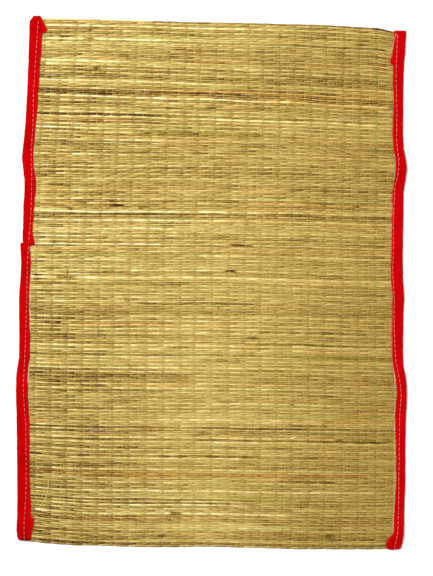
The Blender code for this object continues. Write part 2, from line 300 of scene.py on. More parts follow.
def blank_stems(name, count, sides, splits):
    """A cylinder cut into sections and copied count times, still to be laid in its place.

    Returns the object, and for every vertex which stem it is on, its section, and its angle.
    """
    gap = 4  # between the copies, each of which has a radius of 1
    sections = math.prod(splits)
    bpy.ops.object.select_all(action="DESELECT")
    bpy.ops.mesh.primitive_cylinder_add(
        vertices=sides,
        radius=1,
        depth=sections,
        location=(sections / 2, 0, 0),
        rotation=(0, math.pi / 2, 0),
    )
    stems = bpy.context.object
    stems.name = name
    bpy.ops.object.transform_apply(location=True, rotation=True, scale=True)
    # the long edges are cut again and again, all along
    length = sections
    for split in splits:
        bpy.ops.object.mode_set(mode="EDIT")
        bpy.ops.mesh.select_mode(type="EDGE")
        bpy.ops.mesh.select_all(action="DESELECT")
        bpy.ops.object.mode_set(mode="OBJECT")
        corners = stems.data.vertices
        for edge in stems.data.edges:
            run = abs(corners[edge.vertices[0]].co.x - corners[edge.vertices[1]].co.x)
            edge.select = run > length / 2
        bpy.ops.object.mode_set(mode="EDIT")
        bpy.ops.mesh.subdivide(number_cuts=split - 1)
        bpy.ops.object.mode_set(mode="OBJECT")
        length = length / split
    copies = stems.modifiers.new("copies", "ARRAY")
    copies.count = count
    copies.use_relative_offset = False
    copies.use_constant_offset = True
    copies.constant_offset_displace = (0, gap, 0)
    bpy.ops.object.modifier_apply(modifier=copies.name)
    places = np.empty(len(stems.data.vertices) * 3)
    stems.data.vertices.foreach_get("co", places)
    places = places.reshape(-1, 3)
    stem = np.round(places[:, 1] / gap).astype(int)
    section = np.round(places[:, 0]).astype(int)
    angle = np.arctan2(places[:, 2], places[:, 1] - gap * stem) + math.pi / 2
    return stems, stem, section, angle


def lay_stems(stems, stem, section, angle, lines, half_width, half_height, base=1.0):
    """Moves every stem onto its own centre line, with its own half width and half height."""
    run = np.gradient(lines, axis=1)
    run /= np.linalg.norm(run, axis=2, keepdims=True)
    side = np.cross(np.broadcast_to((0.0, 0.0, 1.0), run.shape), run)
    side /= np.linalg.norm(side, axis=2, keepdims=True)
    top = np.cross(run, side)
    across = half_width[stem, section] * np.cos(angle) * np.where(np.sin(angle) < 0, base, 1.0)
    above = half_height[stem, section] * np.sin(angle)
    places = lines[stem, section] + side[stem, section] * across[:, None]
    places += top[stem, section] * above[:, None]
    stems.data.vertices.foreach_set("co", places.ravel())
    stems.data.update()


def unroll(stems, stem, section, angle):
    """A map of the skin in which every stem is one straight row, with its ends beside it."""
    edge_u, edge_v = 0.02, 0.06  # left free round each row
    end_u, end_width, end_height = 0.009, 0.008, 0.42  # where the ends lie, and their half sizes
    mesh = stems.data
    count, sections = stem.max() + 1, section.max()
    corner = np.empty(len(mesh.loops), dtype=int)
    mesh.loops.foreach_get("vertex_index", corner)
    starts = np.empty(len(mesh.polygons), dtype=int)
    mesh.polygons.foreach_get("loop_start", starts)
    sizes = np.empty(len(mesh.polygons), dtype=int)
    mesh.polygons.foreach_get("loop_total", sizes)
    face = np.repeat(np.arange(len(sizes)), sizes)
    around = ((angle + math.pi / 2) / (2 * math.pi) + 1e-4) % 1.0
    around = around[corner]
    stem, section, angle = stem[corner], section[corner], angle[corner]
    # a face that closes the round goes on past the row's top
    wraps = np.maximum.reduceat(around, starts) - np.minimum.reduceat(around, starts) > 0.6
    around = np.where(wraps[face] & (around < 0.5), around + 1, around)
    u = edge_u + (1 - 2 * edge_u) * section / sections
    v = (stem + edge_v + (1 - 2 * edge_v) * around) / count
    ends = (np.maximum.reduceat(section, starts) == np.minimum.reduceat(section, starts))[face]
    middle = np.where(section == 0, end_u, 1 - end_u)
    u = np.where(ends, middle + end_width * np.cos(angle), u)
    v = np.where(ends, (stem + 0.5 + end_height * np.sin(angle)) / count, v)
    chart = mesh.uv_layers.new(name="OFBake")
    chart.data.foreach_set("uv", np.stack([u, v], axis=1).ravel())
    for old in [layer.name for layer in mesh.uv_layers if layer.name != "OFBake"]:
        mesh.uv_layers.remove(mesh.uv_layers[old])


def note(piece, name, values):
    """Keeps three numbers on every vertex, for the material to read."""
    attribute = piece.data.attributes.new(name=name, type="FLOAT_VECTOR", domain="POINT")
    attribute.data.foreach_set("vector", np.stack(values, axis=1).ravel())


def smooth(piece, degrees):
    bpy.ops.object.select_all(action="DESELECT")
    bpy.context.view_layer.objects.active = piece
    piece.select_set(True)
    bpy.ops.object.shade_smooth_by_angle(angle=math.radians(degrees))


class Wire:
    """An output in a material's nodes. Arithmetic on it adds Math nodes."""

    def __init__(self, tree, socket=None):
        self.tree = tree
        self.socket = socket

    def node(self, kind, settings=(), inputs=(), output=0):
        made = self.tree.nodes.new("ShaderNode" + kind)
        for name, value in dict(settings).items():
            if name == "stops":
                while len(made.color_ramp.elements) < len(value):
                    made.color_ramp.elements.new(1.0)
                for element, (place, colour) in zip(made.color_ramp.elements, value):
                    element.position = place
                    element.color = colour
            else:
                setattr(made, name, value)
        self.feed(made, inputs)
        return Wire(self.tree, made.outputs[output])

    def feed(self, node, inputs):
        for name, value in dict(inputs).items():
            if isinstance(value, Wire):
                self.tree.links.new(value.socket, node.inputs[name])
            else:
                node.inputs[name].default_value = value

    def beside(self, output):
        """Another output of the same node."""
        return Wire(self.tree, self.socket.node.outputs[output])

    def noted(self, name):
        """Three numbers that are kept on every vertex."""
        return self.node("Attribute", {"attribute_name": name}, output=1)

    def first(self):
        """The first of three numbers; beside(1) and beside(2) give the others."""
        return self.node("SeparateXYZ", (), {0: self})

    def math(self, operation, *values):
        return self.node("Math", {"operation": operation}, enumerate(values))

    def __add__(self, other):
        return self.math("ADD", self, other)

    __radd__ = __add__

    def __sub__(self, other):
        return self.math("SUBTRACT", self, other)

    def __rsub__(self, other):
        return self.math("SUBTRACT", other, self)

    def __mul__(self, other):
        return self.math("MULTIPLY", self, other)

    __rmul__ = __mul__

    def clamped(self):
        return self.node("Clamp", (), {"Value": self})

    def stretched(self, x, y, z):
        return self.node("VectorMath", {"operation": "MULTIPLY"}, {0: self, 1: (x, y, z)})

    def noise(self, detail=2.0):
        """A cloudy value about 0, from a place."""
        inputs = {"Vector": self, "Scale": 1.0, "Detail": detail}
        return self.node("TexNoise", {"noise_dimensions": "3D"}, inputs) - 0.5

    def ramp(self, *stops):
        """Colours for 0 to 1."""
        return self.node("ValToRGB", {"stops": stops}, {0: self})

    def mixed(self, share, colour, blend="MIX"):
        settings = {"data_type": "RGBA", "blend_type": blend}
        return self.node("Mix", settings, {0: share, 6: self, 7: colour}, output=2)


def dye(red, green, blue):
    """A colour as a picture gives it, 0 to 255, made linear."""
    colour = []
    for part in (red, green, blue):
        bright = part > 10
        colour.append(((part / 255 + 0.055) / 1.055) ** 2.4 if bright else part / 255 / 12.92)
    return (*colour, 1.0)


def finish(name, settings):
    """A new material, its shader with plain settings, and a wire to start from."""
    material = bpy.data.materials.new(name)
    material.use_nodes = True
    shader = material.node_tree.nodes["Principled BSDF"]
    start = Wire(material.node_tree)
    start.feed(shader, settings)
    return material, shader, start


def dried_grass():
    material, shader, start = finish("dried_grass", {"Specular IOR Level": 0.16, "IOR": 1.48})
    look = start.noted("look")
    run = start.noted("run")
    tone = look.first()
    hue = tone.beside(1)
    painted_crest_shading = tone.beside(2)
    streaks = run.stretched(90, 1000, 1).noise(1.0)
    fibres = run.stretched(240, 4200, 1).noise(3.0)
    mottle = run.stretched(360, 700, 1).noise(3.0)
    # the third number of look is a painted highlight along each reed's top and painted shade on its
    # flanks
    grade = tone + streaks * 0.30 + mottle * 0.55 + fibres * 0.16 + painted_crest_shading * 0.50
    straw = grade.clamped().ramp(
        (0.00, dye(48, 27, 12)),
        (0.14, dye(106, 77, 28)),
        (0.30, dye(144, 115, 47)),
        (0.48, dye(173, 147, 76)),
        (0.66, dye(191, 168, 96)),
        (0.84, dye(211, 192, 120)),
        (1.00, dye(234, 222, 168)),
    )
    straw = straw.mixed(hue.clamped(), dye(214, 222, 150), "MULTIPLY")
    straw = straw.mixed((hue * -1.0).clamped(), dye(255, 226, 190), "MULTIPLY")
    relief = streaks * 0.6 + fibres * 0.4
    bump = start.node("Bump", (), {"Strength": 0.5, "Distance": 0.25 * MM, "Height": relief})
    start.feed(shader, {
        "Base Color": straw,
        "Roughness": (0.62 - tone * 0.22 + fibres * 0.2).clamped(),
        "Normal": bump,
    })
    return material


furrows = reed_furrows()
shares = ((furrows[1:] + furrows[:-1]) / 2)[:, None]
pitches = (furrows[1:] - furrows[:-1]) * (FAR_END - NEAR_END)
reeds = np.arange(REED_COUNT)
panel = surface_of(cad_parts["woven_panel"].data)
thread_guess = np.linspace(-210, 212, THREAD_COUNT) * MM
first_y = reed_y(np.tile(thread_guess, (REED_COUNT, 1)), shares)
thread_x = np.array([np.diagonal(thread_lines(row[:, None])) for row in first_y])
left_ends = np.interp(first_y[:, 0], *side_line("woven_panel", -1)) + END_INSET
right_ends = np.interp(first_y[:, -1], *side_line("woven_panel", 1)) - END_INSET
all_x = np.concatenate([left_ends[:, None], thread_x, right_ends[:, None]], axis=1)
station_sets = (stations_of(0), stations_of(1))
phase = np.array([station_sets[reed % 2] for reed in reeds])
before = np.minimum((phase + 1).astype(int), THREAD_COUNT)
weight = phase + 1 - before
x_before = np.take_along_axis(all_x, before, 1)
x_after = np.take_along_axis(all_x, before + 1, 1)
reed_x = x_before * (1 - weight) + x_after * weight
reed_at = reed_y(reed_x, shares)

# The panel's underside and thickness at every station, filled in where there is no panel
floor_z = np.empty(reed_x.shape)
thick = np.empty(reed_x.shape)
for place in np.ndindex(reed_x.shape):
    x, y = reed_x[place], reed_at[place]
    base = lowest(panel, x, y)
    tops = [highest(panel, x, y + aside * MM) for aside in (-0.7, 0, 0.7)]
    tops = [top for top in tops if top is not None]
    floor_z[place] = base if base is not None else np.nan
    thick[place] = max(tops) - base if tops and base is not None else np.nan
for values in (floor_z, thick):
    for row in values:
        missing = np.isnan(row)
        row[missing] = np.interp(np.flatnonzero(missing), np.flatnonzero(~missing), row[~missing])

# Each reed's line and size: pinched where a thread crosses over it, and raised between
chance = np.random.default_rng(21)
wave = np.cos(math.pi * (phase + reeds[:, None]))
held = np.where((np.round(phase) + reeds[:, None]) % 2 == 1, 1.0, 0.0)
from_thread = np.abs(phase - np.round(phase))
pinch = held * np.clip(1 - from_thread / (PINCH_REACH * 1.25), 0, 1)
dip = held * np.clip(1 - from_thread / 0.3, 0, 1)
level = 0.35 * wave + 0.65 * (1 - 2 * dip)
thin = chance.random(REED_COUNT) < THIN_SHARE
sunk = np.where(thin, -0.06, 0.0)[:, None] + 0.02 * drift(chance, reed_x, 40 * MM)
# every second reed lies a little prouder, some more than others
upper = (np.where(reeds % 2 == 0, 1.0, -1.0) * chance.uniform(0.3, 1.7, REED_COUNT))[:, None]
stout = np.where(thin, 0.84, 1.0)[:, None] * (1 + 0.09 * np.clip(drift(chance, reed_x, 30 * MM), -2, 2))
reed_width = pitches[:, None] / 2 * (1.06 + 0.02 * wave - 0.14 * pinch + 0.05 * upper) * stout
reed_height = thick * REED_HALF_HEIGHT * (1 + 0.05 * wave - 0.20 * pinch) * (0.5 + 0.5 * stout)
middle_z = floor_z + thick / 2
reed_z = middle_z + thick * (WAVE * level + 0.02 * upper + np.clip(sunk, -0.08, 0.02))
sway = drift(chance, reed_x, 45 * MM)
shared_sway = sum(np.roll(sway, step, axis=0) for step in range(-2, 3)) / math.sqrt(5)
own_sway = np.clip(drift(chance, reed_x, 22 * MM), -2, 2)
reed_at = reed_at + SHARED_SWAY * shared_sway + OWN_SWAY * own_sway
reed_lines = np.stack([reed_x, reed_at, reed_z], axis=2)

# Each reed's tone, from 0 near black to 1 pale straw, with painted light and shade added to it below
own_tone = 0.5 + 0.025 * chance.normal(size=REED_COUNT)[:, None] - np.where(thin, 0.06, 0.0)[:, None]
# some reeds are paler along most of their length, partly their own tone and partly a painted highlight
pale = np.where(chance.random(REED_COUNT) < PALE_SHARE, 0.12, -0.015)[:, None]
even = np.where(pale > 0, 0.45, 1.0)
own_tone = own_tone + pale * np.clip(drift(chance, reed_x, 160 * MM) + 1.2, 0, 1)
reed_tone = own_tone + 0.02 * drift(chance, reed_x, 42 * MM) + 0.04 * drift(chance, reed_x, 5 * MM)
# every length between two nicks has settled at its own angle, and is painted lighter or darker for it
lengths = np.floor((phase + 1 - reeds[:, None] % 2) / 2).astype(int) + 1
settled = np.clip(chance.normal(size=(REED_COUNT, THREAD_COUNT)), -2, 2)
reed_tone = reed_tone + LENGTH_TONE * even * np.take_along_axis(settled, lengths, 1)
# it rises from its left nick into the light, and falls away from it to the right one, so it is painted
# paler at its left end, with a painted highlight there
along_length = (phase + 1 - reeds[:, None] % 2) / 2 % 1.0
reed_tone = reed_tone + even * LENGTH_RISE * (0.5 - along_length)
reed_tone = reed_tone + even * LENGTH_SHINE * (1 + upper) * np.clip(1 - along_length / 0.3, 0, 1)
# painted shade on the last reeds at the near end, where the mat bends down
reed_tone = reed_tone - 0.15 * np.clip((-293.5 * MM - reed_at) / (4 * MM), 0, 1)
reed_tone = reed_tone + np.interp(reed_at, BAND_PLACES, BAND_TONES)
# painted light and shade: the raised parts of each reed and the prouder reeds paler, the nicks where a
# thread grips darker
reed_tone = reed_tone + 0.04 * wave - (0.06 + 0.04 * upper) * pinch + 0.09 * upper
# the light comes from the far left, so the painted shading of the reeds' roundness is strongest there,
# and their tones spread most there too
far_share = np.clip((reed_at + 60 * MM) / (160 * MM), 0, 1)
depth = np.interp(reed_x, DEPTH_PLACES, FAR_DEPTHS) * far_share
depth = depth + np.interp(reed_x, DEPTH_PLACES, NEAR_DEPTHS) * (1 - far_share)
reed_tone = 0.5 + (reed_tone - 0.5) * depth
# painted shade: darker towards the right, away from the light
reed_tone = reed_tone - 0.12 * np.clip((reed_x - 20 * MM) / (190 * MM), 0, 1)
# painted light in the middle of the near half, and painted shade on its left
paler = np.clip(1 - np.abs(reed_x / (130 * MM)), 0, 1)
paler = paler * np.clip((120 * MM - reed_at) / (200 * MM), 0, 1)
reed_tone = reed_tone + 0.08 * paler
painted_shade_left = np.clip((-60 * MM - reed_x) / (120 * MM), 0, 1)
painted_shade_left = painted_shade_left * np.clip((40 * MM - reed_at) / (100 * MM), 0, 1)
reed_tone = reed_tone - 0.07 * painted_shade_left
# here and there a short dark mark
dashes = drift(chance, reed_x, 18 * MM)
reed_tone = reed_tone - 0.32 * np.clip(dashes - 2.3, 0, 0.8)
reed_hue = 0.17 * drift(chance, reed_x, 50 * MM) + 0.14 * chance.normal(size=REED_COUNT)[:, None]
wear = np.random.default_rng(6)
for mark in (*STAINS_AND_HIGHLIGHTS, *worn_lengths(wear, *WORN_DULL), *worn_lengths(wear, *WORN_PALE)):
    centre = (mark.x_from + mark.x_to) / 2 * MM
    reach = (mark.x_to - mark.x_from) / 2 * MM
    y_at_start = reed_y(np.full((REED_COUNT, 1), mark.x_from * MM), shares)[:, 0]
    nearest = np.argsort(np.abs(y_at_start - mark.y * MM))[:mark.reeds]
    fade = np.clip((reach - np.abs(reed_x[nearest] - centre)) / MARK_FADE + 0.5, 0, 1)
    own = 0.3 if abs(mark.tone) > STRONG_MARK else 1.0
    reed_tone[nearest] += (mark.tone + (own - 1) * (reed_tone[nearest] - 0.5)) * fade
    reed_hue[nearest] += mark.hue * fade

grass = dried_grass()
first = 0
for number, count in enumerate(STRIPS, start=1):
    chosen = slice(first, first + count)
    strip, stem, section, angle = blank_stems(f"reeds_{number}", count, REED_SIDES, (6, 23))
    lines, width, height = reed_lines[chosen], reed_width[chosen], reed_height[chosen]
    lay_stems(strip, stem, section, angle, lines, width, height, SQUASHED_BASE)
    unroll(strip, stem, section, angle)
    # painted highlight along each reed's top and painted shade on its flanks, stronger where depth is
    # larger
    painted_crest_shading = (np.sin(angle) - 0.70) * depth[chosen][stem, section]
    note(strip, "look", (reed_tone[chosen][stem, section], reed_hue[chosen][stem, section], painted_crest_shading))
    girth = (angle + math.pi / 2) % (2 * math.pi) * MM
    note(strip, "run", (lines[stem, section, 0], girth, (stem + first) * PATTERN_STEP))
    strip.data.materials.append(grass)
    smooth(strip, 60)
    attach(strip, "root")
    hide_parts("woven_panel")
    first += count

# Cotton threads
# The warp of the mat: 46 thin twisted threads of natural cotton that run its whole length, over
# one reed and under the next, pulled tight so that they nick the reeds they cross.

TAIL = 0.7 * MM  # how far a thread's cut end stands out past the last reed
THREAD_SIDES = 4
THREAD_TWIST = 0.9 * MM
thread_chance = np.random.default_rng(8)


def cotton(name, pale, dark):
    material, shader, start = finish(name, {"Specular IOR Level": 0.25, "Roughness": 0.85})
    run = start.noted("run")
    along = run.first()
    around = along.beside(1)
    twist = (along * (2 * math.pi / THREAD_TWIST) + around * 2).math("SINE") * 0.5 + 0.5
    soil = run.stretched(420, 0.3, 1).noise(3.0)
    fuzz = run.stretched(5200, 1.2, 1).noise(2.0)
    clean = (twist * 0.4 + soil * 2.6 + fuzz * 0.5 + 0.25).clamped()
    colour = clean.node("Mix", {"data_type": "RGBA"}, {0: clean, 6: dark, 7: pale}, output=2)
    bump = start.node("Bump", (), {"Strength": 0.6, "Distance": 0.12 * MM, "Height": twist + fuzz})
    start.feed(shader, {"Base Color": colour, "Normal": bump})
    return material


def lay_thread_group(name, threads, side_shift, over_first, radius, sides, loose, material):
    """Threads that run the length of the mat, woven over and under its reeds.

    Each has its shift to the side, and a 0 or 1 that says how it starts.
    """
    even, odd = [[np.flatnonzero(places == thread)[0] for thread in threads] for places in station_sets]
    sections = 2 * REED_COUNT + 5
    lines = np.empty((len(threads), sections, 3))
    for row, thread in enumerate(threads):
        pick = np.where(reeds % 2 == 0, even[row], odd[row])
        centre = reed_lines[reeds, pick]
        over = (reeds + thread + over_first[row]) % 2 == 1
        clear = reed_height[reeds, pick] + radius * loose
        clear = clear - radius * 0.8 * np.clip(thread_chance.normal(size=REED_COUNT), -1, 1)
        crest = centre.copy()
        crest[:, 2] += np.where(over, clear, 0.9 * radius - reed_height[reeds, pick])
        crest[:, 0] += side_shift[row]
        between = (crest[1:] + crest[:-1]) / 2
        run = lines[row, 2:-2]
        run[1::2] = crest
        run[2:-1:2] = between
        ends = pitches[[0, -1]] / 2 + 0.15 * MM
        run[0] = centre[0] + (side_shift[row], -ends[0], 0)
        run[-1] = centre[-1] + (side_shift[row], ends[1], 0)
        hang = thread_chance.uniform(0.4, 1.0, 2) * TAIL
        sway = thread_chance.uniform(-0.5, 0.5, 2) * TAIL
        lines[row, 1] = run[0] + (sway[0] / 2, -hang[0] / 2, -0.1 * MM)
        lines[row, 0] = run[0] + (sway[0], -hang[0], -0.3 * MM)
        lines[row, -2] = run[-1] + (sway[1] / 2, hang[1] / 2, -0.1 * MM)
        lines[row, -1] = run[-1] + (sway[1], hang[1], -0.3 * MM)
    piece, stem, section, angle = blank_stems(name, len(threads), sides, (6, 90))
    size = np.full((len(threads), sections), radius)
    lay_stems(piece, stem, section, angle, lines, size, size)
    unroll(piece, stem, section, angle)
    note(piece, "run", (lines[stem, section, 1], angle, stem * 1.31))
    piece.data.materials.append(material)
    smooth(piece, 80)
    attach(piece, "root")
    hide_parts("woven_panel")


natural_cotton = cotton("natural_cotton", dye(242, 218, 140), dye(178, 148, 76))
halves = (range(0, THREAD_COUNT // 2), range(THREAD_COUNT // 2, THREAD_COUNT))
for name, threads in zip(("threads_left", "threads_right"), halves):
    none = [0] * len(threads)
    lay_thread_group(name, threads, none, none, THREAD_RADIUS, THREAD_SIDES, 0.7, natural_cotton)

# Selvedge cords
# Beside each tape the outermost thread is a pair of thicker cotton cords that grip every reed
# between them, one above and one below, and change places from reed to reed.

SELVEDGE_RADIUS = 0.28 * MM
selvedge_cotton = cotton("selvedge_cotton", dye(230, 210, 162), dye(80, 60, 28))
pair = (0, 0, THREAD_COUNT - 1, THREAD_COUNT - 1)
shifts = (-0.5 * MM, 0.5 * MM, -0.5 * MM, 0.5 * MM)
lay_thread_group("selvedge_cords", pair, shifts, (0, 1, 0, 1), SELVEDGE_RADIUS, 6, 0.8, selvedge_cotton)

# Cloth tapes
# Ready-made tape of plain red cotton, its raw edges turned in, folded lengthwise over the
# reeds' cut ends and sewn through both flaps. The left side has two lengths of it, lapped a
# little past the middle, and the right side has one.

CLOTH_THICKNESS = 1.0 * MM
TAPE_ROW = 1.25 * MM  # between the cloth's rows of faces
TAPE_COLUMNS = 23
FLAP, UNDER, TURN = 0.42, 0.40, 0.18  # shares of the tape's width: upper flap, lower flap and fold
GROOVE_DEPTH = 0.2 * MM
GROOVE_WIDTH = 1.1 * MM
PUCKER = 0.12 * MM
PUCKER_REACH = 2.6 * MM
SLACK = 0.16 * MM
FOLD_SLACK = 0.18  # in millimetres
EDGE_WANDER = 0.22  # in millimetres
END_WANDER = 0.35 * MM
SLACK_LENGTHS = (31 * MM, 17 * MM, 7.3 * MM)
SLACK_LEANS = (0.1, -0.2, 0.35)
STITCH_PITCH = 5.7 * MM
EDGE_PRESS = 0.55 * MM  # how far the upper flap's inner edge is pressed down into the reeds
WEFT_PITCH = 0.62 * MM
WARP_PITCH = 0.55 * MM
TAPE_PLACES = (-303 * MM, -293 * MM, -60 * MM, 300 * MM)  # where each tape's spread is given
PAINTED_SHADE_PLACES = (-303 * MM, -294 * MM, 300 * MM)  # where its painted shade is given

# The seams, in millimetres along and across the mat
Seam = namedtuple("Seam", "y x")
LEFT_SEAM = (
    Seam(-300, -217.0),
    Seam(-275, -217.0),
    Seam(-260, -216.0),
    Seam(-235, -215.0),
    Seam(-165, -215.5),
    Seam(-145, -217.0),
    Seam(-120, -218.0),
    Seam(-95, -217.0),
    Seam(-60, -215.5),
    Seam(-20, -214.5),
    Seam(20, -213.5),
    Seam(90, -209.0),
    Seam(120, -208.5),
    Seam(155, -209.0),
    Seam(185, -207.0),
    Seam(220, -206.5),
    Seam(250, -204.5),
    Seam(290, -202.0),
    Seam(308, -200.5),
)
RIGHT_SEAM = (
    Seam(-309, 212.5),
    Seam(-300, 214.5),
    Seam(-290, 216.0),
    Seam(-260, 217.5),
    Seam(-210, 218.0),
    Seam(-160, 218.5),
    Seam(-130, 220.0),
    Seam(-120, 219.5),
    Seam(-90, 214.0),
    Seam(-60, 212.5),
    Seam(-35, 212.0),
    Seam(-20, 212.5),
    Seam(15, 210.5),
    Seam(35, 211.5),
    Seam(75, 211.5),
    Seam(110, 213.0),
    Seam(125, 216.5),
    Seam(140, 217.5),
    Seam(165, 215.0),
    Seam(200, 215.5),
    Seam(235, 214.5),
    Seam(260, 215.0),
    Seam(292, 216.5),
)


def seam_x(seam, y):
    return np.interp(y, [row.y * MM for row in seam], [row.x * MM for row in seam])


def tape_outline(name, side, stations):
    """At each Y, a solid tape's fold, the two flaps' inner edges, its top and its bottom."""
    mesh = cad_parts[name].data
    corners = np.array([vertex.co for vertex in mesh.vertices])
    edges = np.array([edge.vertices for edge in mesh.edges])
    start, end = corners[edges[:, 0]], corners[edges[:, 1]]
    near, far = np.minimum(start[:, 1], end[:, 1]), np.maximum(start[:, 1], end[:, 1])
    rows = []
    for y in stations:
        crossing = (near <= y) & (far >= y) & (far - near > 1e-9)
        a, b = start[crossing], end[crossing]
        points = a + (b - a) * ((y - a[:, 1]) / (b[:, 1] - a[:, 1]))[:, None]
        top, base = points[:, 2].max(), points[:, 2].min()
        outward = side * points[:, 0]
        upper = points[:, 2] > (top + base) / 2
        fold, upper_edge, lower_edge = outward.max(), outward[upper].min(), outward[~upper].min()
        rows.append((side * fold, side * upper_edge, side * lower_edge, top, base))
    return np.array(rows).T


def red_cotton():
    material, shader, start = finish("red_cotton", {"Specular IOR Level": 0.01})
    run = start.noted("run")
    look = start.noted("look")
    across = run.first()
    along = across.beside(1)
    groove = look.first()
    wear = groove.beside(1)
    # the third number of look is painted shade: darker at the tape's near end, and evening out the
    # light along it
    painted_shade = groove.beside(2)
    weft = (across * (2 * math.pi / WEFT_PITCH)).math("SINE")
    warp = (along * (2 * math.pi / WARP_PITCH)).math("SINE")
    checks = weft * warp
    slub = run.stretched(900, 60, 1).noise(3.0) + run.stretched(70, 1100, 1).noise(3.0)
    cloudy = run.stretched(90, 40, 1).noise(3.0)
    # the groove term paints shade into the seam's groove
    shade = 0.62 + cloudy * 0.6 + slub * 0.35 + checks * 0.10 - groove * 0.07 - painted_shade * 0.45
    red = shade.clamped().ramp(
        (0.00, dye(92, 1, 2)),
        (0.35, dye(146, 1, 3)),
        (0.60, dye(172, 1, 4)),
        (1.00, dye(194, 4, 7)),
    )
    red = red.mixed(wear.clamped() * 0.12, dye(236, 70, 60))
    relief = checks * 0.5 + slub * 1.2
    bump = start.node("Bump", (), {"Strength": 0.55, "Distance": 0.12 * MM, "Height": relief})
    roughness = (0.82 + slub * 0.2).clamped()
    start.feed(shader, {"Base Color": red, "Roughness": roughness, "Normal": bump})
    return material


def fold_tape(made, material):
    """Lays a strip of tape in the shape of its solid, with its groove, puckers and slack.

    Returns the piece, and its flat width and length.
    """
    name, side = made.name, made.side
    chance = np.random.default_rng(made.seed)
    low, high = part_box(name)
    count = round((high.y - low.y) / TAPE_ROW)
    stations = np.linspace(low.y + 0.02 * MM, high.y - made.trim * MM, count + 1)
    outline = tape_outline(name, side, np.minimum(stations, made.square_from * MM))
    fold, upper_edge, lower_edge, top, base = outline
    bpy.ops.object.select_all(action="DESELECT")
    bpy.ops.mesh.primitive_grid_add(x_subdivisions=TAPE_COLUMNS, y_subdivisions=count, size=2)
    tape = bpy.context.object
    tape.name = name + "_cloth"
    places = np.empty(len(tape.data.vertices) * 3)
    tape.data.vertices.foreach_get("co", places)
    places = places.reshape(-1, 3)
    column = np.round((places[:, 0] + 1) / 2 * TAPE_COLUMNS).astype(int)
    row = np.round((places[:, 1] + 1) / 2 * count).astype(int)
    # from the upper flap's inner edge, round the fold, to the lower flap's inner edge
    share = column / TAPE_COLUMNS
    on_top = np.clip(share / FLAP, 0, 1)
    round_fold = np.clip((share - FLAP) / TURN, 0, 1)
    below = np.clip((share - FLAP - TURN) / UNDER, 0, 1)
    radius = (top - base) / 2
    bend = fold - side * radius
    angle = math.pi / 2 - math.pi * round_fold
    x_above = upper_edge[row] + (bend - upper_edge)[row] * on_top
    x_below = bend[row] + (lower_edge - bend)[row] * below
    x = np.where(share <= FLAP, x_above, bend[row] + side * radius[row] * np.cos(angle))
    x = np.where(share >= FLAP + TURN, x_below, x)
    y = stations[row]
    z = (top + base)[row] / 2 + radius[row] * np.sin(angle)
    # slack cloth: edges that wander, a groove along the seam and a pucker at every stitch
    from_seam = (x - seam_x(made.seam, y)) * -side
    face = np.where(share < 0.5, 1.0, -1.0)
    on_flap = np.where((share <= FLAP) | (share >= FLAP + TURN), 1.0, 0.0)
    groove = np.exp(-(from_seam / GROOVE_WIDTH) ** 2) * on_flap
    pucker = np.cos(2 * math.pi * y / STITCH_PITCH) * np.exp(-np.abs(from_seam) / PUCKER_REACH)
    pucker = pucker * (1 - groove)
    waves = sum(
        np.sin(2 * math.pi * (y / length + x / (9 * MM) * lean) + start)
        for length, lean, start in zip(SLACK_LENGTHS, SLACK_LEANS, chance.uniform(0, 6, 3))
    ) / 3
    swell = SLACK * waves + PUCKER * pucker - GROOVE_DEPTH * groove
    z = z + face * on_flap * np.where(face > 0, swell, np.minimum(swell, 0))
    x = x + np.where(on_flap < 1, side * FOLD_SLACK * MM * waves, 0.0)
    knots = np.arange(0, count + 1, 4)
    edge_wave = np.interp(np.arange(count + 1), knots, chance.normal(size=len(knots)))
    at_edge = np.clip(1 - on_top / 0.25, 0, 1) * (share < 0.5)
    at_edge = at_edge + np.clip(1 - (1 - below) / 0.25, 0, 1) * (share > 0.5)
    x = x + edge_wave[row] * at_edge * EDGE_WANDER * MM
    on_upper = np.clip(1 - on_top / 0.8, 0, 1) * (share < 0.5)
    x = x - side * np.interp(y, TAPE_PLACES, [step * MM for step in made.spread]) * on_upper
    z = z - EDGE_PRESS * np.clip(1 - on_top / 0.2, 0, 1) * (share < 0.5)
    y = y + np.where((row == 0) | (row == count), END_WANDER * np.sin(column * 2.4), 0.0)
    tape.data.vertices.foreach_set("co", np.stack([x, y, z], axis=1).ravel())
    widths = np.abs(upper_edge - bend) + math.pi * radius + np.abs(lower_edge - bend)
    width = float(np.median(widths))
    wear = np.clip(at_edge * 0.8 + (1 - on_flap) * 0.25, 0, 1)
    wear = wear * (0.4 + 0.6 * chance.random(count + 1)[row])
    note(tape, "run", (share * width, y, np.full(len(y), float(made.seed))))
    note(tape, "look", (groove, wear, np.interp(y, PAINTED_SHADE_PLACES, made.soil)))
    if side < 0:
        bpy.ops.object.mode_set(mode="EDIT")
        bpy.ops.mesh.select_all(action="SELECT")
        bpy.ops.mesh.flip_normals()
        bpy.ops.object.mode_set(mode="OBJECT")
    cloth = tape.modifiers.new("cloth", "SOLIDIFY")
    cloth.thickness = CLOTH_THICKNESS
    cloth.offset = -1
    bpy.ops.object.modifier_apply(modifier=cloth.name)
    edges = tape.modifiers.new("turned edges", "BEVEL")
    edges.width = 0.3 * MM
    edges.segments = 2
    edges.limit_method = "ANGLE"
    edges.angle_limit = math.radians(65)
    bpy.ops.object.modifier_apply(modifier=edges.name)
    tape.data.materials.append(material)
    smooth(tape, 50)
    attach(tape, "root")
    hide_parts(name)
    return tape, (width, float(stations[-1] - stations[0]))


